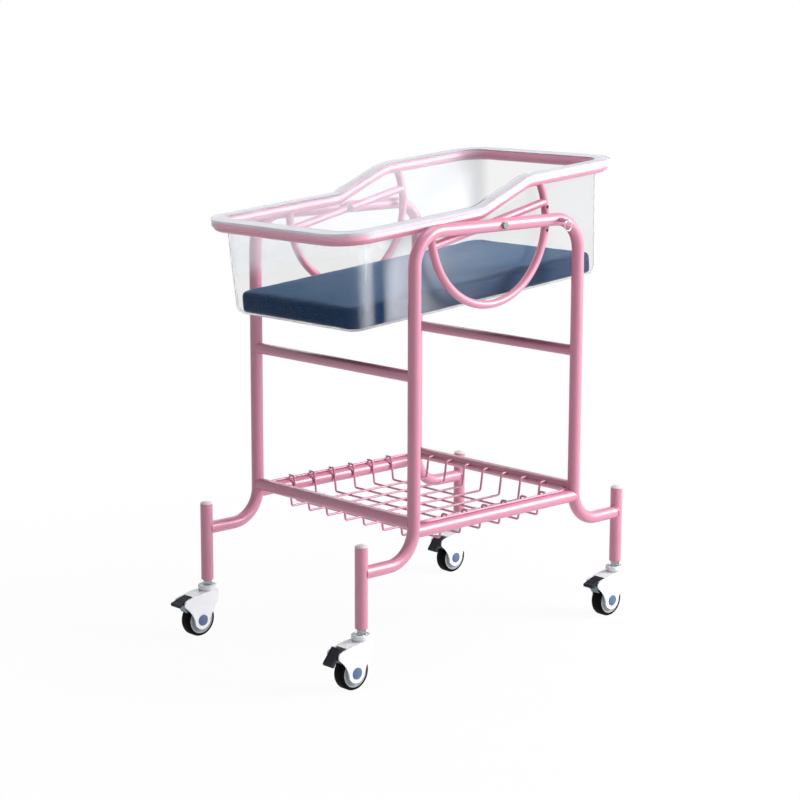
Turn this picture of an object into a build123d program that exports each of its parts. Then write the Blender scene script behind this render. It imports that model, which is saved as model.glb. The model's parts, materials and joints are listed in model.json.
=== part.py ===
from build123d import *
import os
from math import asin, cos, degrees, radians, sin, tan

# Hospital bassinet: a clear basin with a mattress, hung in a tilting tube cradle between two
# side frames, on a tubular stand with a wire basket and four braked swivel casters.
# Millimetres. +X points to the raised head end, +Y to the far side, +Z up.
# The model is drawn about the middle of the stand, on the floor, and moved at the very end so
# that the origin is under the middle of the whole object's box.

# Stand tubes
frame_d = 25.0
frame_wall = 1.5
upper_rail_d = 22.0
bend_r = 65.0
leg_x = 225.0
foot_reach = 134.0
frame_height = 625.5
frame_gap = 1.0
upper_cross_drop = 270.5
lower_cross_gap = 7.5
long_rail_drop = 16.5

# Caster posts
post_wall = 3.0
post_length = 158.3
post_foot_up = 107.3
post_chamfer = 2.4
cap_brim = 1.2
cap_dome = 4.2
cap_plug = 12.0
insert_length = 30.0

# Wire basket
rim_wire_d = 5.0
grid_wire_d = 4.5
basket_corner_r = 28.0
basket_depth = 44.5
basket_shoulder = 15.0
basket_slant = 7.0
wire_bend_r = 5.0
long_wire_pitch = 55.0
long_wire_count = 7
cross_wire_pitch = 55.0
cross_wire_count = 6

# Cradle, in its own level frame with the tilt axis as origin
tilt_deg = 4.8
rim_d = 22.0
rim_wall = 1.5
rim_half_length = 371.0
rim_half_width = 206.0
rim_corner_r = 62.0
rim_low_z = 22.5
rim_high_z = 66.0
step_low_x = -27.0
step_high_x = 109.0
step_bend_r = 80.0
bow_d = 16.0
bow_wall = 1.5
bow_r = 157.0
bow_over_deg = 4.0
bar_slope_deg = 7.35
lock_hole_d = 6.6
lock_hole_pitch_deg = 8.5

# Tilt pivots
bolt_d = 8.0
bolt_play = 0.05
bolt_head_af = 13.0
bolt_head_t = 5.3
nut_t = 4.2
spacer_d = 16.0
face_play = 0.2

# Lock pin on the near side frame
pin_d = 5.8
pin_play = 0.05
pin_draw_gap = 1.0
pin_travel = 7.5
pin_chamfer = 1.0
sleeve_d = 9.0
sleeve_reach = 12.5
sleeve_depth = 1.0
pin_eye_gap = 1.8
pin_tail = 3.0
ring_wire_d = 1.6
ring_mean_r = 10.0
ring_eye_d = 3.2

# Basin
basin_wall = 3.0
basin_draft_deg = 2.5
basin_end_gap = 4.0
basin_side_gap = 1.5
basin_corner_r = 45.0
basin_floor_z = -157.0
basin_floor_r = 18.0
flange_t = 2.7
lip_t = 2.2
lip_gap = 0.3

# Mattress
mattress_end_gap = 17.0
mattress_side_gap = 17.0
mattress_t = 42.0
mattress_corner_r = 30.0
mattress_top_r = 7.0
mattress_foot_r = 12.0
mattress_gap = 0.3

# Casters, each about its own swivel axis
wheel_r = 34.5
trail = 26.0
tyre_half_w = 12.5
tyre_t = 6.3
tread_chamfer = 3.4
hub_play = 0.05
hub_boss_out = 0.6
hub_bevel = 0.8
hub_groove_in = 2.4
hub_groove_w = 4.2
hub_rim_in = 0.8
hub_step = 1.2
axle_r = 4.0
fork_half_w = 17.5
fork_side_t = 3.4
fork_top_t = 3.4
fork_back_t = 3.2
fork_back_x = 13.0
fork_back_drop = 25.0
fork_room_drop = 9.0
fork_mouth_x = 48.5
fork_seat_x = 9.0
fork_seat_drop = 2.9
fork_brow_x = 40.5
fork_brow_drop = 6.9
fork_nose_x = 67.5
fork_nose_drop = 13.5
fork_snout_x = 70.5
fork_snout_drop = 22.0
fork_chin_x = 64.5
fork_chin_drop = 30.5
fork_cheek_x = 52.5
fork_cheek_drop = 43.5
fork_throat_x = 0.5
fork_throat_drop = 43.5
lobe_r = 19.0
collar_r = 19.5
collar_base_r = 17.0
collar_step = 2.6
collar_gap = 1.0
collar_t = 7.6
collar_chamfer = 1.4
collar_z = 94.4
collar_dish_r = 14.5
collar_dish = 1.4
stem_r = 5.95
stem_play = 0.05
stem_head_r = 9.0
stem_head_t = 3.2
stem_head_gap = 1.0
stem_hex_af = 16.0
stem_hex_t = 10.4
stem_grip = 24.0
axle_cap_r = 11.3
axle_stand = 0.8
axle_cap_t = 2.6
axle_cap_dome = 1.5
pedal_swing_deg = 34.0
pedal_pivot_x = -59.5
pedal_pivot_drop = 30.0
pedal_pin_r = 2.0
pedal_pin_play = 0.05
pedal_half_w = 12.5
pad_heel_out = 10.5
pad_heel_up = 22.0
pad_toe_out = 22.5
pad_toe_up = 11.7
pad_roll = 2.9
pad_roll_out = 3.4
pad_belly = 9.0
pedal_pad_t = 5.2
pad_border = 2.4
pad_recess = 0.9
pad_rib_count = 4
pad_rib_w = 1.2
lever_half_w = 10.0
lever_heel = 3.4
lever_toe = 10.0
shoe_r = 9.9
shoe_from_deg = -97.0
shoe_to_deg = -72.0

# Radii, and places that follow from the sizes above
frame_r = frame_d / 2
rim_r = rim_d / 2
bow_tube_r = bow_d / 2
grid_r = grid_wire_d / 2
basin_half_length = rim_half_length - rim_r - basin_end_gap
basin_half_width = rim_half_width - rim_r - basin_side_gap
mattress_length = 2 * (basin_half_length - mattress_end_gap)
mattress_width = 2 * (basin_half_width - mattress_side_gap)
side_y = rim_half_width + rim_r + lip_gap + lip_t + frame_gap + frame_r
post_x = leg_x + foot_reach
stem_hex_z = collar_z + collar_t - collar_dish + face_play
post_bottom_z = stem_hex_z + stem_hex_t
post_top_z = post_bottom_z + post_length
foot_z = post_bottom_z + post_foot_up
lower_cross_z = foot_z + bend_r + lower_cross_gap
long_rail_z = lower_cross_z - long_rail_drop
top_z = foot_z + frame_height
upper_cross_z = top_z - upper_cross_drop
hub_rim_r = wheel_r - tyre_t
pedal_pivot_z = collar_z - pedal_pivot_drop


# Helpers

def rod(path, diameter):
    """A round bar whose axis is the path."""
    return sweep(Plane(origin=path @ 0, z_dir=path % 0) * Circle(diameter / 2), path=path)


def tube(path, diameter, wall):
    """A round tube whose axis is the path."""
    ring = Circle(diameter / 2) - Circle(diameter / 2 - wall)
    return sweep(Plane(origin=path @ 0, z_dir=path % 0) * ring, path=path)


def bore_y(x, z, radius, y_from, y_to):
    """A round bar along Y, used to drill a hole or as a pin."""
    middle = (y_from + y_to) / 2
    return Pos(x, middle, z) * Rot(90, 0, 0) * Cylinder(radius, abs(y_to - y_from))


def dome_arc(radius, base, height):
    """Arc of a shallow dome in a side outline: from its rim to its top on the axis."""
    ball_r = (radius ** 2 + height ** 2) / (2 * height)
    half = asin(radius / ball_r) / 2
    centre = base + height - ball_r
    return ThreePointArc((radius, base), (ball_r * sin(half), centre + ball_r * cos(half)),
                         (0, base + height))


def plate_y(outline, y_from, y_to):
    """An outline drawn in XZ, given thickness along Y."""
    face = Plane.XZ * outline
    return extrude(Pos(0, y_to, 0) * face, amount=y_to - y_from)


# Stand

def side_frame_path(side):
    """Axis of one side frame: foot, leg, top tube, leg and foot."""
    y = side * side_y
    corners = [(-post_x, y, foot_z), (-leg_x, y, foot_z), (-leg_x, y, top_z),
               (leg_x, y, top_z), (leg_x, y, foot_z), (post_x, y, foot_z)]
    return FilletPolyline(*corners, radius=bend_r)


def post_places():
    """Names and axes of the four caster posts."""
    places = {}
    for side_name, side in (("near", -1), ("far", 1)):
        for end_name, end in (("foot", -1), ("head", 1)):
            places[f"{side_name}_{end_name}"] = (end * post_x, side * side_y)
    return places


def make_posts():
    """The four posts, each a tube whose lower rim is chamfered."""
    height = post_top_z - post_bottom_z
    post = extrude(Circle(frame_r) - Circle(frame_r - post_wall), amount=height)
    rim = post.edges().filter_by(GeomType.CIRCLE).group_by(Axis.Z)[0].sort_by(SortBy.RADIUS)[-1]
    post = chamfer(rim, post_chamfer)
    return [Pos(x, y, post_bottom_z) * post for x, y in post_places().values()]


def make_post_caps():
    """Domed plugs that close the tops of the posts."""
    plug_r = frame_r - post_wall
    dome = dome_arc(frame_r, cap_brim, cap_dome)
    sides = Polyline((0, cap_brim + cap_dome), (0, -cap_plug), (plug_r, -cap_plug),
                     (plug_r, 0), (frame_r, 0), (frame_r, cap_brim))
    cap = revolve(Plane.XZ * make_face([*dome.edges(), *sides.edges()]), Axis.Z)
    return [Pos(x, y, post_top_z) * cap for x, y in post_places().values()]


def make_post_inserts():
    """Threaded inserts in the lower ends of the posts, for the caster stems."""
    hole_r = stem_r + stem_play
    insert = extrude(Circle(frame_r - post_wall) - Circle(hole_r), amount=insert_length)
    return [Pos(x, y, post_bottom_z) * insert for x, y in post_places().values()]


def make_stand():
    """Side frames, rails and posts, with every tube end cut to the tube it meets."""
    pieces = {}
    posts = make_posts()
    post_bars = [Pos(x, y, (post_bottom_z + post_top_z) / 2)
                 * Cylinder(frame_r, post_top_z - post_bottom_z) for x, y in post_places().values()]
    hoop_bars = []
    for name, side in (("near", -1), ("far", 1)):
        path = side_frame_path(side)
        hoop_bars.append(rod(path, frame_d))
        hoop = tube(path, frame_d, frame_wall)
        for post in post_bars:
            hoop -= post
        inner = side * (side_y - frame_d)
        outer = side * (side_y + frame_d)
        hoop -= bore_y(0, top_z, bolt_d / 2 + bolt_play, inner, outer)
        if side < 0:
            hoop -= bore_y(bow_r, top_z, sleeve_d / 2, inner, outer)
        pieces[f"side_frame_{name}"] = hoop
    cross_bars = []
    for name, end in (("foot", -1), ("head", 1)):
        for level, z, diameter in (("upper", upper_cross_z, upper_rail_d),
                                   ("lower", lower_cross_z, frame_d)):
            line = Line((end * leg_x, -side_y, z), (end * leg_x, side_y, z))
            rail = tube(line, diameter, frame_wall)
            for hoop in hoop_bars:
                rail -= hoop
            pieces[f"{level}_cross_rail_{name}"] = rail.solids().sort_by(SortBy.VOLUME)[-1]
            cross_bars.append(rod(line, diameter))
    for name, side in (("near", -1), ("far", 1)):
        line = Line((-leg_x, side * side_y, long_rail_z), (leg_x, side * side_y, long_rail_z))
        rail = tube(line, frame_d, frame_wall)
        for other in hoop_bars + cross_bars:
            rail -= other
        pieces[f"long_rail_{name}"] = rail.solids().sort_by(SortBy.VOLUME)[-1]
    pieces["caster_posts"] = posts
    pieces["post_caps"] = make_post_caps()
    pieces["post_inserts"] = make_post_inserts()
    return pieces


# Wire basket

def basket_sizes():
    """Half length and half width of the basket's rim wire, and its height."""
    half_length = leg_x - frame_r - rim_wire_d / 2
    rim_z = long_rail_z + frame_r + rim_wire_d / 2
    return half_length, side_y, rim_z


def basket_wire(half_span, top, floor):
    """Axis of one grid wire in its own plane: shoulder, drop, floor, drop and shoulder."""
    shoulder = half_span - basket_shoulder
    heel = shoulder - basket_slant
    corners = [(-half_span, 0, top), (-shoulder, 0, top), (-heel, 0, floor),
               (heel, 0, floor), (shoulder, 0, top), (half_span, 0, top)]
    return FilletPolyline(*corners, radius=wire_bend_r)


def make_basket():
    """A welded basket: a rim wire on the long rails, and two layers of bent grid wires."""
    half_length, half_width, rim_z = basket_sizes()
    rim = RectangleRounded(2 * half_length, 2 * half_width, basket_corner_r).wire()
    rim = rod(Pos(0, 0, rim_z) * rim, rim_wire_d)
    top = rim_z + rim_wire_d / 2 + grid_r
    cross_floor = rim_z - basket_depth
    long_floor = cross_floor + grid_wire_d
    end_reach = half_length + rim_wire_d / 2
    side_reach = half_width + rim_wire_d / 2
    long_wire = rod(basket_wire(end_reach, top, long_floor), grid_wire_d)
    cross_wire = Rot(0, 0, 90) * rod(basket_wire(side_reach, top, cross_floor), grid_wire_d)
    wires = [rim]
    for i in range(long_wire_count):
        y = (i - (long_wire_count - 1) / 2) * long_wire_pitch
        wires.append(Pos(0, y, 0) * long_wire)
    for i in range(cross_wire_count):
        x = (i - (cross_wire_count - 1) / 2) * cross_wire_pitch
        wires.append(Pos(x, 0, 0) * cross_wire)
    return wires


# Cradle and basin, drawn level about the tilt axis

def tilted(shape):
    """Moves a piece of the cradle from its own level frame to its place on the stand."""
    return Pos(0, 0, top_z) * Rot(0, -tilt_deg, 0) * shape


def step_corners(offset):
    """The two corners of the stepped rim line, moved square to the line by an offset."""
    rise = Vector(step_high_x - step_low_x, 0, rim_high_z - rim_low_z)
    slope = radians(rise.get_angle(Vector(1, 0, 0)))
    shift = offset * tan(slope / 2)
    return (step_low_x - shift, rim_low_z + offset), (step_high_x - shift, rim_high_z + offset)


def rim_path():
    """Axis of the rim tube: a closed loop, low at the foot end and high at the head end."""
    corners = []
    radii = []
    for side in (-1, 1):
        run = [(-rim_half_length, rim_low_z, rim_corner_r), (step_low_x, rim_low_z, step_bend_r),
               (step_high_x, rim_high_z, step_bend_r), (rim_half_length, rim_high_z, rim_corner_r)]
        if side > 0:
            run.reverse()
        for x, z, radius in run:
            corners.append((x, side * rim_half_width, z))
            radii.append(radius)
    return FilletPolyline(*corners, radius=radii, close=True)


def make_cradle():
    """Rim tube, the bow under each side, and the pivot bar across each bow."""
    pieces = {}
    rim_line = rim_path()
    rim_bar = rod(rim_line, rim_d)
    pieces["rim_tube"] = rim_bar - rod(rim_line, rim_d - 2 * rim_wall)
    head_angle = degrees(asin((rim_high_z - rim_r) / bow_r)) + bow_over_deg
    foot_angle = 180 - degrees(asin((rim_low_z - rim_r) / bow_r)) - bow_over_deg
    slope = radians(bar_slope_deg)
    for name, side in (("near", -1), ("far", 1)):
        y = side * rim_half_width
        plane = Plane(origin=(0, y, 0), x_dir=(1, 0, 0), z_dir=(0, -1, 0))
        arc = plane * CenterArc((0, 0), bow_r, foot_angle, 360 + head_angle - foot_angle)
        bow = tube(arc, bow_d, bow_wall) - rim_bar
        bow = bow.solids().sort_by(SortBy.VOLUME)[-1]
        bow_bar = rod(arc, bow_d)
        if side < 0:
            for i in (-1, 0, 1):
                angle = radians(i * lock_hole_pitch_deg - tilt_deg)
                bow -= bore_y(bow_r * cos(angle), bow_r * sin(angle), lock_hole_d / 2,
                              y - bow_d, y + bow_d)
        end = Vector(bow_r * cos(slope), 0, bow_r * sin(slope))
        line = Line(Vector(0, y, 0) - end, Vector(0, y, 0) + end)
        bar = tube(line, bow_d, bow_wall) - bow_bar
        bar = bar.solids().sort_by(SortBy.VOLUME)[-1]
        bar -= bore_y(0, 0, bolt_d / 2 + bolt_play, y - bow_d, y + bow_d)
        pieces[f"tilt_bow_{name}"] = bow
        pieces[f"pivot_bar_{name}"] = bar
    return {name: tilted(piece) for name, piece in pieces.items()}


def below_step(offset, low):
    """Side outline of all that lies under the stepped line at an offset, down to a level."""
    far = rim_half_length + frame_d
    lower, upper = step_corners(offset)
    line = FilletPolyline((-far, lower[1]), lower, upper, (far, upper[1]),
                          radius=[step_bend_r - offset, step_bend_r + offset])
    rest = Polyline((far, upper[1]), (far, low), (-far, low), (-far, lower[1]))
    return make_face([*line.edges(), *rest.edges()])


def basin_body(inset):
    """The basin's tapered body, drawn in from its outside by an inset, with a rounded floor."""
    top = rim_high_z + rim_d
    bottom = basin_floor_z + inset
    plane = Plane(origin=(0, 0, top), x_dir=(1, 0, 0), z_dir=(0, 0, -1))
    outline = RectangleRounded(2 * (basin_half_length - inset), 2 * (basin_half_width - inset),
                               basin_corner_r - inset)
    body = extrude(plane * outline, amount=top - bottom, taper=basin_draft_deg)
    return fillet(body.edges().group_by(Axis.Z)[0], basin_floor_r - inset)


def basin_plan(margin):
    """Upright prism of the rim's outline, grown by a margin."""
    outline = RectangleRounded(2 * (rim_half_length + margin), 2 * (rim_half_width + margin),
                               rim_corner_r + margin)
    return extrude(outline, amount=2 * rim_high_z, both=True)


def make_basin():
    """A clear tub with a stepped flange that rests on the rim tube and a lip round its outside."""
    half = rim_half_width + frame_d
    top_offset = rim_r + lip_gap + flange_t
    under_top = plate_y(below_step(top_offset, basin_floor_z - basin_wall), -half, half)
    flange_band = under_top - plate_y(below_step(rim_r + lip_gap, -basin_wall), -half, half)
    flange_band = flange_band.solids().sort_by(Axis.Z)[-1]
    lip_band = under_top - plate_y(below_step(0, -basin_wall), -half, half)
    lip_band = lip_band.solids().sort_by(Axis.Z)[-1]
    outside = basin_plan(rim_r + lip_gap + lip_t)
    hollow = basin_body(basin_wall)
    tub = basin_body(0) & under_top
    flange = outside & flange_band
    lip = (outside - basin_plan(rim_r + lip_gap)) & lip_band
    return tilted((tub + flange + lip) - hollow)


def make_mattress():
    """A plain foam pad on the basin's floor."""
    outline = RectangleRounded(mattress_length, mattress_width, mattress_corner_r)
    pad = extrude(outline, amount=mattress_t)
    pad = fillet(pad.faces().sort_by(Axis.Z)[0].edges(), mattress_foot_r)
    pad = fillet(pad.faces().sort_by(Axis.Z)[-1].edges(), mattress_top_r)
    return tilted(Pos(0, 0, basin_floor_z + basin_wall + mattress_gap) * pad)


# Tilt pivots and lock pin

def make_pivots():
    """Bolts through the top tubes and pivot bars, their nuts, and the spacers between."""
    bolts = []
    nuts = []
    spacers = []
    for side in (-1, 1):
        head_y = side * (side_y + frame_r)
        nut_y = side * (rim_half_width - bow_tube_r - face_play)
        nut_end = nut_y - side * nut_t
        hexagon = RegularPolygon(bolt_head_af / 2, 6, major_radius=False)
        head = plate_y(Pos(0, top_z) * hexagon, *sorted((head_y, head_y + side * bolt_head_t)))
        bolts.append(head + bore_y(0, top_z, bolt_d / 2, head_y, nut_end))
        nut = plate_y(Pos(0, top_z) * hexagon, *sorted((nut_y, nut_end)))
        nuts.append(nut - bore_y(0, top_z, bolt_d / 2, nut_y + side, nut_end - side))
        bar_face = side * (rim_half_width + bow_tube_r + face_play)
        spacer = bore_y(0, top_z, spacer_d / 2, bar_face, side * side_y)
        spacer -= rod(side_frame_path(side), frame_d)
        spacer = spacer.solids().sort_by(SortBy.VOLUME)[-1]
        spacers.append(spacer - bore_y(0, top_z, bolt_d / 2 + bolt_play, 0, side * 2 * side_y))
    return {"pivot_bolts": bolts, "pivot_nuts": nuts, "pivot_spacers": spacers}


def lock_places():
    """Y positions along the lock pin: its tip, the sleeve's ends, the ring's eye and its tail."""
    tip = -(rim_half_width + bow_tube_r + pin_draw_gap)
    sleeve_in = sleeve_depth - (side_y - frame_r)
    sleeve_out = -(side_y + frame_r + sleeve_reach)
    eye = sleeve_out - pin_travel - pin_eye_gap
    return tip, sleeve_in, sleeve_out, eye, eye - pin_tail


def make_lock():
    """A sleeve welded through the near top tube, the pin drawn back in it, and its pull ring."""
    tip, sleeve_in, sleeve_out, eye, tail = lock_places()
    sleeve = bore_y(bow_r, top_z, sleeve_d / 2, sleeve_in, sleeve_out)
    sleeve -= bore_y(bow_r, top_z, pin_d / 2 + pin_play, sleeve_in + 1, sleeve_out - 1)
    pin = bore_y(bow_r, top_z, pin_d / 2, tip, tail)
    pin = chamfer(pin.edges().filter_by(GeomType.CIRCLE), pin_chamfer)
    pin -= Pos(bow_r, eye, top_z) * Rot(0, 90, 0) * Cylinder(ring_eye_d / 2, 2 * pin_d)
    ring = Pos(bow_r, eye, top_z - ring_mean_r) * Rot(90, 0, 0) * Torus(ring_mean_r,
                                                                       ring_wire_d / 2)
    return {"lock_sleeve": sleeve, "lock_pin": pin, "pull_ring": ring}


# Casters, drawn about the swivel axis with the wheel trailing towards -X

def fork_spot(x, drop):
    """A point of the fork's side outline, by its distance ahead and under the collar."""
    return -x, collar_z - drop


def fork_outline(inset_top):
    """Side outline of the fork: level collar seat, sloping back, nose and axle lobe."""
    top_back = fork_spot(-fork_back_x, collar_gap + inset_top)
    top_mid = fork_spot(fork_seat_x, fork_seat_drop + inset_top)
    brow = fork_spot(fork_brow_x, fork_brow_drop + inset_top)
    nose = fork_spot(fork_nose_x, fork_nose_drop + inset_top)
    snout = fork_spot(fork_snout_x, fork_snout_drop)
    chin = fork_spot(fork_chin_x, fork_chin_drop)
    cheek = fork_spot(fork_cheek_x, fork_cheek_drop)
    throat = fork_spot(-fork_throat_x, fork_throat_drop)
    back_low = fork_spot(-fork_back_x, fork_back_drop)
    lobe_left = (-trail - lobe_r, wheel_r)
    lobe_low = (-trail, wheel_r - lobe_r)
    lobe_right = (-trail + lobe_r, wheel_r)
    lines = [Line(top_back, top_mid), ThreePointArc(top_mid, brow, nose),
             ThreePointArc(nose, snout, chin), ThreePointArc(chin, cheek, lobe_left),
             ThreePointArc(lobe_left, lobe_low, lobe_right),
             ThreePointArc(lobe_right, throat, back_low), Line(back_low, top_back)]
    return make_face([edge for line in lines for edge in line.edges()])


def make_fork():
    """The white fork: two cheeks joined by a top and back wall, with the swivel collar."""
    outside = plate_y(fork_outline(0), -fork_half_w, fork_half_w)
    inside_w = fork_half_w - fork_side_t
    reach = 3 * wheel_r
    high = 2 * (collar_z + collar_t)
    room_top = collar_z - fork_room_drop
    under_top = plate_y(fork_outline(fork_top_t), -inside_w, inside_w)
    mouth = Pos(-reach, 0, 0) * Box(2 * (reach - fork_mouth_x), 2 * inside_w, high)
    well_x = fork_back_x - fork_back_t - reach / 2
    well = Pos(well_x, 0, room_top / 2) * Box(reach, 2 * inside_w, room_top)
    back_wall = Pos(fork_back_x - fork_back_t / 2, 0, collar_z)
    back_wall *= Box(fork_back_t, 2 * inside_w, 2 * fork_back_drop)
    fork = outside - (under_top + mouth + well - back_wall)
    base = Pos(0, 0, collar_z - collar_step / 2) * Cylinder(collar_base_r, collar_step)
    collar = Pos(0, 0, collar_z + collar_t / 2) * Cylinder(collar_r, collar_t)
    top_rim = collar.edges().filter_by(GeomType.CIRCLE).group_by(Axis.Z)[-1]
    collar = chamfer(top_rim, collar_chamfer)
    collar -= Pos(0, 0, collar_z + collar_t) * Cylinder(collar_dish_r, 2 * collar_dish)
    fork += base + collar
    low = collar_z - fork_top_t - collar_step
    fork -= Pos(0, 0, low) * Cylinder(stem_r + stem_play, 2 * (collar_z + collar_t - low))
    fork -= Pos(0, 0, low - stem_head_t) * Cylinder(stem_head_r + stem_head_gap, 2 * stem_head_t)
    fork -= bore_y(-trail, wheel_r, axle_r, -fork_half_w - 1, fork_half_w + 1)
    pin_reach = fork_half_w - fork_side_t / 3
    fork -= bore_y(pedal_pivot_x, pedal_pivot_z, pedal_pin_r + pedal_pin_play,
                   -pin_reach, pin_reach)
    return fork


def make_stem():
    """Stem with a head inside the fork, a hexagon under the post and a thread in the insert."""
    low = collar_z - fork_top_t - collar_step
    head_top = low - face_play
    head = Pos(0, 0, head_top - stem_head_t / 2) * Cylinder(stem_head_r, stem_head_t)
    top = post_bottom_z + stem_grip
    shank = Pos(0, 0, (head_top + top) / 2) * Cylinder(stem_r, top - head_top)
    hexagon = RegularPolygon(stem_hex_af / 2, 6, major_radius=False)
    nut = extrude(Pos(0, 0, stem_hex_z) * hexagon, amount=stem_hex_t)
    return head + shank + nut


def make_tyre():
    """Solid rubber tyre with chamfered shoulders."""
    inner = hub_rim_r
    shoulder = tyre_half_w - tread_chamfer
    outline = Polyline((inner, -tyre_half_w), (wheel_r - tread_chamfer, -tyre_half_w),
                       (wheel_r - tread_chamfer / 3, -shoulder - tread_chamfer / 3),
                       (wheel_r, -shoulder + tread_chamfer / 3),
                       (wheel_r, shoulder - tread_chamfer / 3),
                       (wheel_r - tread_chamfer / 3, shoulder + tread_chamfer / 3),
                       (wheel_r - tread_chamfer, tyre_half_w), (inner, tyre_half_w), close=True)
    ring = revolve(Plane.XZ * make_face(outline.edges()), Axis.Z)
    return Pos(-trail, 0, wheel_r) * Rot(90, 0, 0) * ring


def make_hub():
    """Moulded hub with a raised boss, a groove and a stepped rim on each face."""
    face = tyre_half_w + hub_boss_out
    floor = tyre_half_w - hub_groove_in
    rim = tyre_half_w - hub_rim_in
    half = [(axle_r + hub_play, face), (lobe_r - hub_bevel, face), (lobe_r, face - hub_bevel),
            (lobe_r + hub_bevel, floor), (hub_rim_r - hub_groove_w, floor),
            (hub_rim_r - hub_groove_w + hub_step, rim), (hub_rim_r, rim)]
    points = half + [(r, -z) for r, z in reversed(half)]
    outline = Polyline(*points, close=True)
    hub = revolve(Plane.XZ * make_face(outline.edges()), Axis.Z)
    return Pos(-trail, 0, wheel_r) * Rot(90, 0, 0) * hub


def make_axle():
    """Plain steel axle through both cheeks."""
    return bore_y(-trail, wheel_r, axle_r, -fork_half_w - axle_stand, fork_half_w + axle_stand)


def make_axle_caps():
    """Domed caps that cover the ends of the axle."""
    inner = fork_half_w
    brim = inner + axle_cap_t - axle_cap_dome
    lines = [Line((0, inner), (axle_cap_r, inner)), Line((axle_cap_r, inner), (axle_cap_r, brim)),
             dome_arc(axle_cap_r, brim, axle_cap_dome), Line((0, brim + axle_cap_dome), (0, inner))]
    face = make_face([edge for line in lines for edge in line.edges()])
    cap = revolve(Plane.XZ * face, Axis.Z) - Cylinder(axle_r, 2 * (inner + axle_stand))
    place = Pos(-trail, 0, wheel_r)
    return [place * Rot(90, 0, 0) * cap, place * Rot(-90, 0, 0) * cap]


def pedal_pose(shape, pressed):
    """Turns a pedal piece about its pivot to the raised or the pressed stop."""
    if not pressed:
        return shape
    pivot = Pos(pedal_pivot_x, 0, pedal_pivot_z)
    return pivot * Rot(0, -pedal_swing_deg, 0) * pivot.inverse() * shape


def pad_lines():
    """Heel and toe of the raised pad's top face, and the directions along it and under it."""
    heel = Vector(pedal_pivot_x + pad_heel_out, pedal_pivot_z + pad_heel_up)
    toe = Vector(pedal_pivot_x - pad_toe_out, pedal_pivot_z + pad_toe_up)
    along = (toe - heel).normalized()
    return heel, toe, along, Vector(-along.Y, along.X)


def make_pedal_pad():
    """Dark moulded pad with a rolled tip and a ribbed panel sunk in its top."""
    heel, toe, along, down = pad_lines()
    heel_low = heel + down * pedal_pad_t
    toe_low = toe + down * (pedal_pad_t + pad_roll)
    toe_out = toe + along * pad_roll_out + down * pad_roll
    belly = toe - along * pad_belly + down * pedal_pad_t
    lines = [Line(heel, toe), ThreePointArc(toe, toe_out, toe_low), Line(toe_low, belly),
             Line(belly, heel_low), Line(heel_low, heel)]
    outline = make_face([edge for line in lines for edge in line.edges()])
    pad = plate_y(outline, -pedal_half_w, pedal_half_w)
    inner_w = pedal_half_w - pad_border
    length = (toe - heel).length - 2 * pad_border
    gap = (length - pad_rib_count * pad_rib_w) / (pad_rib_count + 1)
    for i in range(pad_rib_count + 1):
        start = heel + along * (pad_border + i * (gap + pad_rib_w))
        end = start + along * gap
        sunk = Polyline(start, end, end + down * pad_recess, start + down * pad_recess, close=True)
        pad -= plate_y(make_face(sunk.edges()), -inner_w, inner_w)
    return pad


def make_pedal_lever():
    """Steel lever under the pad: web, pivot pin and the shoe that presses the tyre."""
    heel, toe, along, down = pad_lines()
    near = heel + along * lever_heel + down * pedal_pad_t
    far = toe - along * lever_toe + down * pedal_pad_t
    pivot = Vector(pedal_pivot_x, pedal_pivot_z)
    shoe = [pivot + Vector(cos(radians(turn)), sin(radians(turn))) * shoe_r
            for turn in (shoe_from_deg, shoe_to_deg)]
    outline = make_face(Polyline(near, far, *shoe, close=True).edges())
    web = plate_y(outline, -lever_half_w, lever_half_w)
    pin_reach = fork_half_w - fork_side_t / 3 - face_play
    return web + bore_y(pivot.X, pivot.Y, pedal_pin_r, -pin_reach, pin_reach)


def make_casters():
    """Four equal casters; two have the brake pedal pressed, as they were left standing."""
    pressed = {"near_foot": True, "far_foot": False, "near_head": False, "far_head": True}
    pad = make_pedal_pad()
    lever = make_pedal_lever()
    fixed = {"caster_stem": make_stem(), "caster_fork": make_fork(), "tyre": make_tyre(),
             "wheel_hub": make_hub(), "axle": make_axle(), "axle_caps": make_axle_caps()}
    pieces = {}
    for name, (x, y) in post_places().items():
        down = pressed[name]
        kit = {**fixed, "brake_pedal": pedal_pose(pad, down),
               "brake_lever": pedal_pose(lever, down)}
        for part, shape in kit.items():
            pieces[f"{part}_{name}"] = [Pos(x, y, 0) * solid for solid in solids_of(shape)]
    return pieces


# Whole object

def make_all():
    """Every piece by node name, about the middle of the stand."""
    pieces = make_stand()
    pieces["basket"] = make_basket()
    pieces.update(make_cradle())
    pieces["basin"] = make_basin()
    pieces["mattress"] = make_mattress()
    pieces.update(make_pivots())
    pieces.update(make_lock())
    pieces.update(make_casters())
    return pieces


def solids_of(piece):
    """The separate solids of a piece or of a list of pieces."""
    shapes = piece if isinstance(piece, list) else [piece]
    return [solid for shape in shapes for solid in shape.solids()]


def overall_middle(pieces):
    """X and Y of the middle of the box round the whole object."""
    boxes = [solid.bounding_box() for piece in pieces.values() for solid in solids_of(piece)]
    low_x = min(box.min.X for box in boxes)
    high_x = max(box.max.X for box in boxes)
    low_y = min(box.min.Y for box in boxes)
    high_y = max(box.max.Y for box in boxes)
    return (low_x + high_x) / 2, (low_y + high_y) / 2


all_pieces = make_all()
middle_x, middle_y = overall_middle(all_pieces)
os.makedirs("parts", exist_ok=True)
for node, piece in all_pieces.items():
    moved = [Pos(-middle_x, -middle_y, 0) * solid for solid in solids_of(piece)]
    shape = moved[0] if len(moved) == 1 else Compound(children=moved)
    export_step(shape, f"parts/{node}.step")
print("pieces", len(all_pieces), "middle", round(middle_x, 4), round(middle_y, 4))
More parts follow.
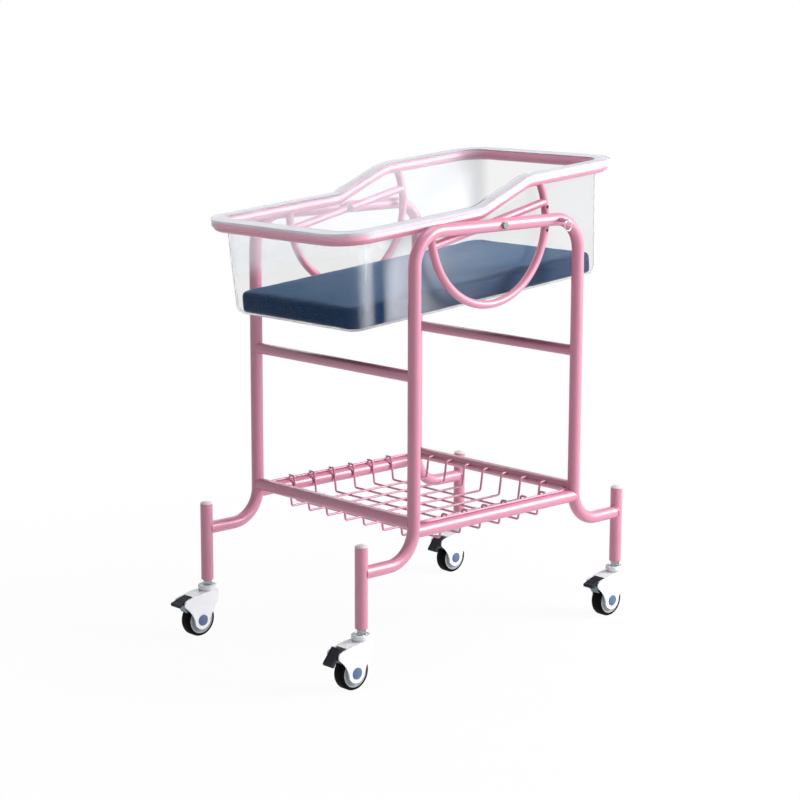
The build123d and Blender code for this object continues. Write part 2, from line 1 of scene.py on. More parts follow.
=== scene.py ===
"""Looks of a hospital bassinet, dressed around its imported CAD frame.

Metres, +Z up, +X towards the raised head end of the basin, +Y away from the lock pin. The
origin is on the floor, under the middle of the whole trolley.
"""

import json
import logging
import math
from collections.abc import Callable, Iterable
from dataclasses import dataclass, field
from enum import Enum

import bpy
import numpy as np
from mathutils import Euler, Matrix, Quaternion, Vector

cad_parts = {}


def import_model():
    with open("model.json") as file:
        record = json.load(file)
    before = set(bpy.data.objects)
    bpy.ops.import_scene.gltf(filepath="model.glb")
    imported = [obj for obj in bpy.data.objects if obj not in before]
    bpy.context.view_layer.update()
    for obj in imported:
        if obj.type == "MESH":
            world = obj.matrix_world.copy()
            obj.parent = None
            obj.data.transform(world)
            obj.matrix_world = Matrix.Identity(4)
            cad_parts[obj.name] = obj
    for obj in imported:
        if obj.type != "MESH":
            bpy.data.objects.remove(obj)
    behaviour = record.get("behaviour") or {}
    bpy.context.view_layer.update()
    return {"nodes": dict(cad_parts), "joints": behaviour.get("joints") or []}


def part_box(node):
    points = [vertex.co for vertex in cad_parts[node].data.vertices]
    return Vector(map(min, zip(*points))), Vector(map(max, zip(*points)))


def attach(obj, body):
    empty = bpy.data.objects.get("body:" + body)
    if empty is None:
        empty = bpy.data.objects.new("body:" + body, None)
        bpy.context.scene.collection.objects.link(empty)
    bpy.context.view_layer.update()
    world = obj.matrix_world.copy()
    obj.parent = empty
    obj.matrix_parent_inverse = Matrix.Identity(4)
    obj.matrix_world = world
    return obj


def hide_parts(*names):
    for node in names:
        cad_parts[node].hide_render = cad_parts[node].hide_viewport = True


LOG = logging.getLogger("bassinet")
MM = 0.001
HEAD_RAISED = math.radians(4.8)


# Colours and nodes


def srgb(code: str) -> tuple[float, float, float, float]:
    """Turns a colour as a paint chart gives it into the linear colour that a shader needs.

    Args:
        code: Six hexadecimal digits, red, green and blue.

    Returns:
        Linear red, green and blue, and an alpha of 1.
    """
    shares = [int(code[i : i + 2], 16) / 255 for i in (0, 2, 4)]
    linear = [s / 12.92 if s <= 0.04045 else ((s + 0.055) / 1.055) ** 2.4 for s in shares]
    return (*linear, 1.0)


def add_node(
    tree: bpy.types.NodeTree, kind: str, inputs: dict | None = None, **settings: object
) -> bpy.types.Node:
    """Adds a node with its settings, and sets or links its inputs.

    Args:
        tree: The node tree that the node goes into.
        kind: Blender's name for the kind of node.
        inputs: A value or an output socket for each input, by the input's name or number.
        **settings: Attributes of the node itself.

    Returns:
        The new node.
    """
    node = tree.nodes.new(kind)
    for name, value in settings.items():
        setattr(node, name, value)
    for name, value in (inputs or {}).items():
        if isinstance(value, bpy.types.NodeSocket):
            tree.links.new(value, node.inputs[name])
        else:
            node.inputs[name].default_value = value
    return node


def carried(
    value: object, start: float, end: float, low: object = 0.0, high: object = 1.0
) -> dict[str, object]:
    """Names the inputs with which a Map Range node carries one range over to another.

    Args:
        value: The output that it follows.
        start: The value at which the range begins.
        end: The value at which it ends.
        low: What comes out at the start, a number or an output.
        high: What comes out at the end.

    Returns:
        The inputs, as add_node takes them.
    """
    return {"Value": value, "From Min": start, "From Max": end, "To Min": low, "To Max": high}


class Gloss(Enum):
    """How a surface was left by the way it was made."""

    POLISHED = 0.06
    GLOSSY = 0.22
    SATIN = 0.38
    MATT = 0.6


@dataclass(frozen=True)
class Finish:
    """A finish that grows a material of its own.

    Attributes:
        name: What the material is, as a maker calls it.
        colour: Its colour, as srgb takes it.
        gloss: How the surface was left.
        grain: Distance between the bumps of its skin, in metres.
        relief: Height of those bumps, in metres.
        mottle: How far the colour drifts over the surface, as a share.
        shine: Strength of the skin's mirror part, 0.5 for a clean plastic.
    """

    name: str
    colour: str
    gloss: Gloss = Gloss.SATIN
    grain: float = 1.5 * MM
    relief: float = 0.02 * MM
    mottle: float = 0.04
    shine: float = 0.5

    def material(self) -> bpy.types.Material:
        """Builds the material, or returns the one that was built before.

        Returns:
            The material, ready to go into a slot.
        """
        known = bpy.data.materials.get(self.name)
        if known:
            return known
        made = bpy.data.materials.new(self.name)
        made.use_nodes = True
        tree = made.node_tree
        tree.nodes.clear()
        place = add_node(tree, "ShaderNodeTexCoord").outputs["Object"]
        shader = self.shader(tree, place)
        add_node(tree, "ShaderNodeOutputMaterial", {"Surface": shader})
        return made

    def tint(self, tree: bpy.types.NodeTree, place: bpy.types.NodeSocket) -> bpy.types.NodeSocket:
        """Lets the colour drift a little, as pigment and light handling leave it.

        Args:
            tree: The material's node tree.
            place: Coordinates on the piece.

        Returns:
            The colour output.
        """
        base = srgb(self.colour)
        drift = add_node(
            tree, "ShaderNodeTexNoise", {"Vector": place, "Scale": 9.0, "Detail": 3.0}
        )
        ramp = add_node(tree, "ShaderNodeValToRGB", {"Fac": drift.outputs["Fac"]})
        low, high = ramp.color_ramp.elements
        low.position, high.position = 0.3, 0.7
        low.color = (*(c * (1 - self.mottle) for c in base[:3]), 1.0)
        high.color = (*(min(1.0, c * (1 + self.mottle)) for c in base[:3]), 1.0)
        return ramp.outputs["Color"]

    def skin(self, tree: bpy.types.NodeTree, place: bpy.types.NodeSocket) -> bpy.types.NodeSocket:
        """Gives the surface the fine relief of its skin.

        Args:
            tree: The material's node tree.
            place: Coordinates on the piece.

        Returns:
            The normal output.
        """
        bumps = add_node(
            tree, "ShaderNodeTexNoise", {"Vector": place, "Scale": 1 / self.grain, "Detail": 2.0}
        )
        bump = add_node(
            tree,
            "ShaderNodeBump",
            {"Height": bumps.outputs["Fac"], "Strength": 0.6, "Distance": self.relief},
        )
        return bump.outputs["Normal"]

    def wear(
        self, tree: bpy.types.NodeTree, place: bpy.types.NodeSocket, spread: float = 0.06
    ) -> bpy.types.NodeSocket:
        """Makes the gloss uneven, as wiping and handling do.

        Args:
            tree: The material's node tree.
            place: Coordinates on the piece.
            spread: How far the roughness moves to each side.

        Returns:
            The roughness output.
        """
        wiping_and_painted_reflection = add_node(
            tree, "ShaderNodeTexNoise", {"Vector": place, "Scale": 22.0, "Detail": 4.0}
        )
        middle = self.gloss.value
        levels = max(0.02, middle - spread), middle + spread
        rough = add_node(
            tree, "ShaderNodeMapRange", carried(wiping_and_painted_reflection.outputs["Fac"], 0.3, 0.7, *levels)
        )
        return rough.outputs["Result"]

    def shader(
        self, tree: bpy.types.NodeTree, place: bpy.types.NodeSocket
    ) -> bpy.types.NodeSocket:
        """Builds the surface. Finishes that need more than a plain skin have their own.

        Args:
            tree: The material's node tree.
            place: Coordinates on the piece.

        Returns:
            The shader output.
        """
        surface = add_node(
            tree,
            "ShaderNodeBsdfPrincipled",
            {
                "Base Color": self.tint(tree, place),
                "Roughness": self.wear(tree, place),
                "Normal": self.skin(tree, place),
                "IOR": 1.5,
                "Specular IOR Level": self.shine,
            },
        )
        return surface.outputs["BSDF"]


@dataclass(frozen=True)
class PowderCoat(Finish):
    """Baked polyester powder on steel tube: an orange-peel skin under a clear gloss."""

    def shader(
        self, tree: bpy.types.NodeTree, place: bpy.types.NodeSocket
    ) -> bpy.types.NodeSocket:
        """Builds a coated paint whose base is softer than its top.

        Args:
            tree: The material's node tree.
            place: Coordinates on the piece.

        Returns:
            The shader output.
        """
        skin = self.skin(tree, place)
        surface = add_node(
            tree,
            "ShaderNodeBsdfPrincipled",
            {
                "Base Color": self.tint(tree, place),
                "Roughness": self.wear(tree, place),
                "Normal": skin,
                "IOR": 1.5,
                "Specular IOR Level": 0.9,
                "Coat Weight": 0.18,
                "Coat Roughness": 0.2,
            },
        )
        return surface.outputs["BSDF"]


@dataclass(frozen=True)
class ClearMoulding(Finish):
    """Injection-moulded polycarbonate: see-through face on, milky from painted reflection where it
    is seen on a slant, with painted shade at its silhouettes.

    Places are in metres along, across and up the basin, as they lie when it is turned level
    about the scene's origin.

    Attributes:
        painted_reflection: Colour of the painted reflection of the white room, which gives the milky
            look, as srgb takes it.
        line: Colour of walls seen along their length, darker: painted shade at the silhouettes.
        face_on_reflection_share: How much painted reflection the walls over the mattress get face
            on, which makes them look milky.
        far_share: How much more painted reflection the far side wall gets.
        stripes: Places along the near wall from its middle, in millimetres, and how much
            more painted reflection it gets there, in upright streaks.
        rim_share: How milky the flange and the top of the lip look from painted reflection.
        lip_share: How milky the lower part of the lip looks from painted reflection.
        slant_share: How milky a wall looks from painted reflection where the eye only grazes it.
        dark_share: How far it then takes the darker colour, which is painted shade.
        axis_place: Where the tilt axis crosses the middle of the tub.
        half: Half length and half width of the tub under its flange.
        corner: Radius of the tub's corners there.
        step: Two places along the basin from the tilt axis, each with the height of the rim
            tube's middle over that axis, between which it climbs.
        lip_clear: Height over the rim tube's middle under which the lip is clear.
        near_wall: Places across the basin between which the streaks end.
        far_wall: Places between which the far side wall begins.
        reflection_band: Heights between which the painted reflection on the walls begins, over the
            mattress.
        graze_band: How far the wall turns from the eye while its painted reflection grows, out of 1.
        dark_band: The same for the darker colour.
    """

    # Painted reflection: the white room's colour seen in the wall, and a darker line colour for
    # painted shade at the silhouettes
    painted_reflection: str = "D6DBE2"
    line: str = "8F9398"
    # Shares of painted reflection: face on over the mattress, more on the far wall, and in upright
    # streaks on the near wall
    face_on_reflection_share: float = 0.02
    far_share: float = 0.2
    stripes: tuple[tuple[float, float], ...] = (
        (-330, 0.02),
        (-319, 0.16),
        (-309, 0.3),
        (-297, 0.22),
        (-288, 0.02),
        (-270, 0.0),
        (-256, 0.2),
        (-236, 0.28),
        (-170, 0.14),
        (-90, 0.05),
        (40, 0.02),
    )
    # Painted reflection on the flange, the lip and slanted walls, and painted shade at the
    # silhouettes
    rim_share: float = 0.5
    lip_share: float = 0.05
    slant_share: float = 0.6
    dark_share: float = 0.9
    axis_place: tuple[float, float, float] = (0.1034, 0.0086, 0.8383)
    half: tuple[float, float] = (354 * MM, 192 * MM)
    corner: float = 45 * MM
    step: tuple[tuple[float, float], ...] = ((-27 * MM, 22.5 * MM), (109 * MM, 66 * MM))
    lip_clear: float = 7.5 * MM
    near_wall: tuple[float, float] = (-160 * MM, -120 * MM)
    far_wall: tuple[float, float] = (140 * MM, 180 * MM)
    reflection_band: tuple[float, float] = (735 * MM, 785 * MM)
    graze_band: tuple[float, float] = (0.5, 0.95)
    dark_band: tuple[float, float] = (0.82, 1.0)

    def outside_tub(
        self, tree: bpy.types.NodeTree, level: bpy.types.NodeSocket
    ) -> bpy.types.NodeSocket:
        """Measures how far a point lies from the middle of the tub's corner, seen from above.

        Args:
            tree: The material's node tree.
            level: The level coordinates.

        Returns:
            The output with the distance, the corner's radius at the tub's wall.
        """
        along, across, _ = self.axis_place
        straight = [half - self.corner for half in self.half]
        steps = (
            ("SUBTRACT", (along, across, 0.0)),
            ("MULTIPLY", (1.0, 1.0, 0.0)),
            ("ABSOLUTE", (0.0, 0.0, 0.0)),
            ("SUBTRACT", (*straight, 0.0)),
            ("MAXIMUM", (0.0, 0.0, 0.0)),
        )
        for operation, amount in steps:
            step = add_node(
                tree, "ShaderNodeVectorMath", {0: level, 1: amount}, operation=operation
            )
            level = step.outputs["Vector"]
        far = add_node(tree, "ShaderNodeVectorMath", {0: level}, operation="LENGTH")
        return far.outputs["Value"]

    def streaks(
        self, tree: bpy.types.NodeTree, along: bpy.types.NodeSocket, across: bpy.types.NodeSocket
    ) -> bpy.types.NodeSocket:
        """Draws soft upright streaks of painted reflection on the near side wall.

        Args:
            tree: The material's node tree.
            along: The place along the basin.
            across: The place across it.

        Returns:
            The output that says how much more painted reflection the streaks get.
        """
        # Painted reflection in upright streaks along the near wall
        middle, span = self.axis_place[0], self.half[0]
        share = add_node(
            tree, "ShaderNodeMapRange", carried(along, middle - span, middle + span)
        )
        bands = add_node(tree, "ShaderNodeValToRGB", {"Fac": share.outputs["Result"]})
        stops = bands.color_ramp.elements
        stops.remove(stops[0])
        stops[0].position = 0.0
        stops[0].color = (0.0, 0.0, 0.0, 1.0)
        for place_mm, strength in self.stripes:
            stop = stops.new(0.5 + place_mm * MM / (2 * span))
            stop.color = (strength, strength, strength, 1.0)
        near = add_node(
            tree,
            "ShaderNodeMapRange",
            carried(across, *self.near_wall, bands.outputs["Color"], 0.0),
            interpolation_type="SMOOTHSTEP",
        )
        return near.outputs["Result"]

    def rim(
        self, tree: bpy.types.NodeTree, level: bpy.types.NodeSocket, axes: bpy.types.Node
    ) -> bpy.types.NodeSocket:
        """Tells the flange, milky from painted reflection, from the tub and from the clear lower
        part of its lip.

        Args:
            tree: The material's node tree.
            level: The level coordinates.
            axes: The node that has them apart.

        Returns:
            The output that says how much painted reflection the rim gets.
        """
        # Painted reflection on the flange and the top of the lip
        (low_x, low_z), (high_x, high_z) = self.step
        along, _, up = self.axis_place
        path = add_node(
            tree,
            "ShaderNodeMapRange",
            carried(axes.outputs["X"], along + low_x, along + high_x, up + low_z, up + high_z),
        )
        over = add_node(
            tree,
            "ShaderNodeMath",
            {0: axes.outputs["Z"], 1: path.outputs["Result"]},
            operation="SUBTRACT",
        )
        clear, soft = self.lip_clear, 1 * MM
        flange = add_node(
            tree,
            "ShaderNodeMapRange",
            carried(over.outputs[0], clear - soft, clear + soft, self.lip_share, self.rim_share),
            interpolation_type="SMOOTHSTEP",
        )
        outside = self.outside_tub(tree, level)
        wall = self.corner
        milky = add_node(
            tree,
            "ShaderNodeMapRange",
            carried(outside, wall + 1 * MM, wall + 4 * MM, 0.0, flange.outputs["Result"]),
            interpolation_type="SMOOTHSTEP",
        )
        return milky.outputs["Result"]

    def wiping_and_painted_reflection(
        self, tree: bpy.types.NodeTree, across: bpy.types.NodeSocket, up: bpy.types.NodeSocket
    ) -> bpy.types.NodeSocket:
        """Paints reflection on the walls over the mattress, the far one most.

        Args:
            tree: The material's node tree.
            across: The place across the basin.
            up: The height.

        Returns:
            The output that says how much painted reflection the walls get.
        """
        # Painted reflection on the walls over the mattress, strongest on the far wall
        share = add_node(
            tree,
            "ShaderNodeMapRange",
            carried(
                across, *self.far_wall, self.face_on_reflection_share, self.face_on_reflection_share + self.far_share
            ),
            interpolation_type="SMOOTHSTEP",
        )
        wall = add_node(
            tree,
            "ShaderNodeMapRange",
            carried(up, *self.reflection_band, 0.0, share.outputs["Result"]),
            interpolation_type="SMOOTHSTEP",
        )
        return wall.outputs["Result"]

    def shares(
        self, tree: bpy.types.NodeTree, place: bpy.types.NodeSocket
    ) -> tuple[bpy.types.NodeSocket, bpy.types.NodeSocket]:
        """Works out how much painted reflection and how much painted shade the moulding gets at a
        point.

        Args:
            tree: The material's node tree.
            place: Coordinates on the piece.

        Returns:
            The outputs for the share of painted reflection and for the share of the darker line
            colour, which is painted shade.
        """
        turned = add_node(
            tree, "ShaderNodeMapping", {"Vector": place, "Rotation": (0.0, HEAD_RAISED, 0.0)}
        )
        level = turned.outputs["Vector"]
        axes = add_node(tree, "ShaderNodeSeparateXYZ", {"Vector": level})
        along, across, up = axes.outputs
        reflected_walls = add_node(
            tree,
            "ShaderNodeMath",
            {0: self.wiping_and_painted_reflection(tree, across, up), 1: self.streaks(tree, along, across)},
            operation="ADD",
        )
        # Painted reflection where the wall is seen on a slant, and painted shade at its silhouettes
        slant = add_node(tree, "ShaderNodeLayerWeight", {"Blend": 0.5}).outputs["Facing"]
        grazed, dark = (
            add_node(
                tree,
                "ShaderNodeMapRange",
                carried(slant, *band, 0.0, share),
                interpolation_type="SMOOTHSTEP",
            ).outputs["Result"]
            for band, share in (
                (self.graze_band, self.slant_share),
                (self.dark_band, self.dark_share),
            )
        )
        milky = reflected_walls.outputs[0]
        for other in (self.rim(tree, level, axes), grazed, dark):
            more = add_node(tree, "ShaderNodeMath", {0: milky, 1: other}, operation="MAXIMUM")
            milky = more.outputs[0]
        return milky, dark

    def shader(
        self, tree: bpy.types.NodeTree, place: bpy.types.NodeSocket
    ) -> bpy.types.NodeSocket:
        """Builds the clear wall, which lets lamplight fall through it on what it holds.

        Args:
            tree: The material's node tree.
            place: Coordinates on the piece.

        Returns:
            The shader output.
        """
        milky, dark = self.shares(tree, place)
        wall = add_node(
            tree,
            "ShaderNodeBsdfPrincipled",
            {
                "Base Color": srgb(self.colour),
                "Roughness": 0.02,
                "Normal": self.skin(tree, place),
                "IOR": 1.1,
                "Transmission Weight": 1.0,
            },
        )
        # The milky layer is painted reflection of the white room, greyer at the silhouettes as
        # painted shade
        shade = add_node(
            tree,
            "ShaderNodeMix",
            {"Factor": dark, 6: srgb(self.painted_reflection), 7: srgb(self.line)},
            data_type="RGBA",
        )
        milk = {"Roughness": 0.5, "IOR": 1.49, "Specular IOR Level": 0.2}
        milk["Base Color"] = shade.outputs[2]
        painted_reflection = add_node(tree, "ShaderNodeBsdfPrincipled", milk)
        body = add_node(
            tree,
            "ShaderNodeMixShader",
            {0: milky, 1: wall.outputs["BSDF"], 2: painted_reflection.outputs["BSDF"]},
        )
        open_wall = add_node(tree, "ShaderNodeBsdfTransparent", {"Color": srgb("F6F6F6")})
        path = add_node(tree, "ShaderNodeLightPath")
        mix = add_node(
            tree,
            "ShaderNodeMixShader",
            {0: path.outputs["Is Shadow Ray"], 1: body.outputs[0], 2: open_wall.outputs[0]},
        )
        return mix.outputs["Shader"]


@dataclass(frozen=True)
class CoatedCloth(Finish):
    """Polyurethane-coated knit over foam: a smooth matt skin with a fine pebble and soft creases.

    Attributes:
        crease: Distance between creases, in metres.
    """

    crease: float = 20 * MM

    def shader(
        self, tree: bpy.types.NodeTree, place: bpy.types.NodeSocket
    ) -> bpy.types.NodeSocket:
        """Builds the cover with its pebble, its creases and a little sheen.

        Args:
            tree: The material's node tree.
            place: Coordinates on the piece.

        Returns:
            The shader output.
        """
        stretched = add_node(
            tree, "ShaderNodeMapping", {"Vector": place, "Scale": (0.14, 1.0, 1.0)}
        )
        creases = add_node(
            tree,
            "ShaderNodeTexNoise",
            {
                "Vector": stretched.outputs["Vector"],
                "Scale": 1 / self.crease,
                "Detail": 4.0,
                "Roughness": 0.6,
                "Distortion": 1.2,
            },
        )
        folded = add_node(
            tree,
            "ShaderNodeBump",
            {"Height": creases.outputs["Fac"], "Strength": 0.8, "Distance": 2.2 * MM},
        )
        pebble = add_node(
            tree, "ShaderNodeTexVoronoi", {"Vector": place, "Scale": 1 / self.grain}
        )
        skin = add_node(
            tree,
            "ShaderNodeBump",
            {
                "Height": pebble.outputs["Distance"],
                "Strength": 0.1,
                "Distance": self.relief,
                "Normal": folded.outputs["Normal"],
            },
        )
        surface = add_node(
            tree,
            "ShaderNodeBsdfPrincipled",
            {
                "Base Color": self.tint(tree, place),
                "Roughness": self.wear(tree, place, 0.08),
                "Normal": skin.outputs["Normal"],
                "IOR": 1.45,
                "Specular IOR Level": 0.05,
                "Sheen Weight": 0.6,
                "Sheen Roughness": 0.22,
                "Sheen Tint": srgb("73A0CA"),
            },
        )
        return surface.outputs["BSDF"]


@dataclass(frozen=True)
class Steel(Finish):
    """Bare or plated steel, a little uneven from drawing or turning."""

    def shader(
        self, tree: bpy.types.NodeTree, place: bpy.types.NodeSocket
    ) -> bpy.types.NodeSocket:
        """Builds a metal with a fine uneven skin.

        Args:
            tree: The material's node tree.
            place: Coordinates on the piece.

        Returns:
            The shader output.
        """
        surface = add_node(
            tree,
            "ShaderNodeBsdfPrincipled",
            {
                "Base Color": self.tint(tree, place),
                "Metallic": 1.0,
                "Roughness": self.wear(tree, place),
                "Normal": self.skin(tree, place),
            },
        )
        return surface.outputs["BSDF"]


# Pink polyester powder, baked on tube: soft shading under a clear highlight
PINK_POWDER_COAT = PowderCoat("pink_powder_coat", "CD829C", Gloss.SATIN, 2.4 * MM, 0.03 * MM, 0.03)
# Clear polycarbonate, injection moulded: painted reflection on its slanted faces, streaks and
# flange, and painted shade at its silhouettes, are what shows
CLEAR_POLYCARBONATE = ClearMoulding(
    "clear_polycarbonate", "F5F5F5", Gloss.POLISHED, 60 * MM, 0.04 * MM
)
# The same plastic where its flange turns down into the tub: a grey line of painted shade
EDGE_SHADE_POLYCARBONATE = Finish("polycarbonate_edge_painted_shade", "A9ADB2", Gloss.GLOSSY, 40 * MM, 0.05 * MM, 0.05)
# Navy polyurethane-coated knit: deep and matt. The pebble is drawn 1.2 mm wide so that it shows
NAVY_COATED_CLOTH = CoatedCloth("navy_coated_cloth", "032443", Gloss.MATT, 1.2 * MM, 0.04 * MM, 0.08)
# White nylon 6, moulded: bright and a little soft at its highlights
WHITE_NYLON = Finish("white_nylon", "F7FAFF", Gloss.SATIN, 0.9 * MM, 0.02 * MM, 0.01)
# White polyethylene plug: waxy white
WHITE_PLUG = Finish("white_polyethylene_plug", "E0D9DA", Gloss.SATIN, 1.2 * MM, 0.03 * MM, 0.02)
# Black tyre rubber, moulded: nearly no shine
BLACK_TYRE_RUBBER = Finish(
    "black_tyre_rubber", "0B0B0C", Gloss.MATT, 0.8 * MM, 0.03 * MM, 0.15, 0.05
)
# Light grey polypropylene hub
GREY_HUB_PLASTIC = Finish("grey_hub_polypropylene", "9FA8AD", Gloss.SATIN, 0.9 * MM, 0.02 * MM, 0.03)
# Blue-grey moulded cap over the axle's end
BLUE_CAP_PLASTIC = Finish("blue_grey_cap_plastic", "556A92", Gloss.SATIN, 0.9 * MM, 0.02 * MM, 0.06)
# Dark glass-filled nylon pedal: fine grain, low shine
PEDAL_NYLON = Finish("dark_pedal_nylon", "1D2029", Gloss.MATT, 0.9 * MM, 0.05 * MM, 0.1, 0.25)
# Zinc-plated turned steel
ZINC_STEEL = Steel("zinc_plated_steel", "949D9E", Gloss.GLOSSY, 1.6 * MM, 0.01 * MM, 0.08)
# Pressed steel lever: darker and duller than the turned pieces
LEVER_STEEL = Steel("pressed_lever_steel", "6A777D", Gloss.SATIN, 1.6 * MM, 0.02 * MM, 0.1)
# Nickel-plated pin, nuts and ring
BRIGHT_STEEL = Steel("bright_plated_steel", "D5D8DA", Gloss.GLOSSY, 1.6 * MM, 0.01 * MM, 0.05)


# Small shared steps


def only(piece: bpy.types.Object) -> None:
    """Makes one piece the only selected and the active one.

    Args:
        piece: The piece that the next operator works on.
    """
    bpy.ops.object.select_all(action="DESELECT")
    piece.select_set(True)
    bpy.context.view_layer.objects.active = piece


def settle(piece: bpy.types.Object, name: str) -> bpy.types.Object:
    """Names a new piece and moves its place into its mesh.

    Args:
        piece: The piece.
        name: Its name.

    Returns:
        The same piece, with its object at the origin.
    """
    only(piece)
    bpy.ops.object.transform_apply(location=True, rotation=True, scale=True)
    piece.name = name
    piece.data.name = name
    return piece


def dress(piece: bpy.types.Object, finish: Finish) -> None:
    """Gives a whole piece one finish.

    Args:
        piece: The piece.
        finish: What it is made of.
    """
    piece.data.materials.clear()
    piece.data.materials.append(finish.material())


def edit_faces(piece: bpy.types.Object, wanted: Callable[[Vector, Vector], bool]) -> None:
    """Opens a piece for editing with some of its faces selected.

    Args:
        piece: The piece.
        wanted: Says by a face's centre and normal whether it is selected.
    """
    only(piece)
    bpy.ops.object.mode_set(mode="EDIT")
    bpy.ops.mesh.select_mode(type="FACE")
    bpy.ops.mesh.select_all(action="DESELECT")
    bpy.ops.object.mode_set(mode="OBJECT")
    for face in piece.data.polygons:
        face.select = wanted(face.center, face.normal)
    bpy.ops.object.mode_set(mode="EDIT")


# Frame pieces that keep their CAD shape


@dataclass
class FramePieces:
    """CAD nodes that stay as they are and only get their finish.

    Attributes:
        nodes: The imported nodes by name.
        smooth_deg: Edges flatter than this are shaded round.
    """

    nodes: dict[str, bpy.types.Object]
    smooth_deg: float = 32.0
    finishes: dict[str, Finish] = field(
        default_factory=lambda: {
            "side_frame": PINK_POWDER_COAT,
            "upper_cross_rail": PINK_POWDER_COAT,
            "lower_cross_rail": PINK_POWDER_COAT,
            "long_rail": PINK_POWDER_COAT,
            "caster_posts": PINK_POWDER_COAT,
            "post_caps": WHITE_PLUG,
            "post_inserts": ZINC_STEEL,
            "basket": PINK_POWDER_COAT,
            "rim_tube": PINK_POWDER_COAT,
            "tilt_bow": PINK_POWDER_COAT,
            "pivot_bar": PINK_POWDER_COAT,
            "pivot_bolts": ZINC_STEEL,
            "pivot_nuts": ZINC_STEEL,
            "pivot_spacers": ZINC_STEEL,
            "lock_sleeve": PINK_POWDER_COAT,
            "lock_pin": BRIGHT_STEEL,
            "pull_ring": BRIGHT_STEEL,
            "basin": CLEAR_POLYCARBONATE,
            "caster_stem": ZINC_STEEL,
            "caster_fork": WHITE_NYLON,
            "axle_caps": BLUE_CAP_PLASTIC,
            "axle": ZINC_STEEL,
            "tyre": BLACK_TYRE_RUBBER,
            "wheel_hub": GREY_HUB_PLASTIC,
            "brake_pedal": PEDAL_NYLON,
            "brake_lever": LEVER_STEEL,
        }
    )

    def finish_of(self, node: str) -> Finish | None:
        """Finds the finish for a node by the longest name that it starts with.

        Args:
            node: The node's name.

        Returns:
            The finish, or None for a node that a new piece stands for.
        """
        fitting = [start for start in self.finishes if node.startswith(start)]
        return self.finishes[max(fitting, key=len)] if fitting else None

    def round_off(self, piece: bpy.types.Object) -> None:
        """Shades a CAD piece round where its faces nearly line up.

        Args:
            piece: The CAD piece, whose mesh is left as it is.
        """
        piece.data.shade_smooth()
        weld = piece.modifiers.new("join_faces", "WELD")
        weld.merge_threshold = 0.001 * MM
        split = piece.modifiers.new("keep_corners", "EDGE_SPLIT")
        split.split_angle = math.radians(self.smooth_deg)

    def dress_all(self) -> None:
        """Dresses every node that has a finish."""
        for name, piece in self.nodes.items():
            finish = self.finish_of(name)
            if finish is None:
                continue
            dress(piece, finish)
            self.round_off(piece)
            LOG.info("%s is %s", name, finish.name)


# Welds


@dataclass
class Welds:
    """Beads of weld round the tube ends, laid on the tube that each one meets.

    Attributes:
        leg: Radius of the legs, feet and posts, in metres.
        proud: How far the middle of a bead stands off the tube.
        thick: Half the thickness of a bead.
        reach: How far round the other tube a bead goes, as a share of that tube's radius.
    """

    leg: float = 12.5 * MM
    proud: float = 0.2 * MM
    thick: float = 1.5 * MM
    reach: float = 0.92

    def bead(
        self, name: str, end: Vector, along: Vector, across: Vector, radius: float, mate: float
    ) -> bpy.types.Object:
        """Lays one bead.

        Args:
            name: Its name.
            end: Where the tube's axis meets the skin of the tube it is welded to.
            along: The tube's direction, towards the other tube.
            across: The other tube's direction.
            radius: The tube's radius.
            mate: The other tube's radius.

        Returns:
            The bead, in its place.
        """
        bpy.ops.object.select_all(action="DESELECT")
        bpy.ops.mesh.primitive_torus_add(
            major_radius=radius + self.proud,
            minor_radius=self.thick,
            major_segments=48,
            minor_segments=8,
        )
        ring = settle(bpy.context.object, name)
        for point in ring.data.vertices:
            aside = min(abs(point.co.x), self.reach * mate)
            point.co.z += mate - math.sqrt(mate * mate - aside * aside)
        along = along.normalized()
        across = (across - across.dot(along) * along).normalized()
        sideways = across.cross(along).normalized()
        turn = Matrix((sideways, across, along)).transposed().to_4x4()
        ring.data.transform(Matrix.Translation(end) @ turn)
        ring.data.shade_smooth()
        dress(ring, PINK_POWDER_COAT)
        return ring

    def rail_ends(self, node: str) -> list[bpy.types.Object]:
        """Lays a bead at each end of a cross rail, on the legs.

        Args:
            node: The rail's node.

        Returns:
            The two beads.
        """
        low, high = (Vector(corner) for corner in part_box(node))
        middle = (low + high) / 2
        radius = (high.z - low.z) / 2
        mate = self.leg
        saddle = mate - math.sqrt(mate * mate - radius * radius)
        beads = []
        for side in (-1, 1):
            tip = low.y if side < 0 else high.y
            end = Vector((middle.x, tip - side * saddle, middle.z))
            along = Vector((0, side, 0))
            name = f"bead_{node}_{side}"
            beads.append(self.bead(name, end, along, Vector((0, 0, 1)), radius, mate))
        return beads

    def post_joints(self) -> list[bpy.types.Object]:
        """Lays a bead where each foot tube meets its caster post.

        Returns:
            The four beads.
        """
        leg = self.leg
        first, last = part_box("caster_posts")
        foot_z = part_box("side_frame_near")[0][2] + leg
        beads = []
        for side in ("near", "far"):
            low, high = (Vector(corner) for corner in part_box(f"side_frame_{side}"))
            for way, x in ((-1, first[0] + leg), (1, last[0] - leg)):
                end = Vector((x - way * leg, (low.y + high.y) / 2, foot_z))
                along = Vector((way, 0, 0))
                name = f"bead_post_{side}_{way}"
                beads.append(self.bead(name, end, along, Vector((0, 0, 1)), leg, leg))
        return beads

    def build(self) -> bpy.types.Object:
        """Lays all the beads of the stand and makes them one piece.

        Returns:
            The finished piece.
        """
        beads = []
        for end in ("foot", "head"):
            beads += self.rail_ends(f"upper_cross_rail_{end}")
            beads += self.rail_ends(f"lower_cross_rail_{end}")
        beads += self.post_joints()
        only(beads[0])
        for ring in beads:
            ring.select_set(True)
        bpy.ops.object.join()
        piece = settle(bpy.context.object, "stand_welds")
        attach(piece, "stand")
        LOG.info("stand_welds has %d beads", len(beads))
        return piece


# Basin edge


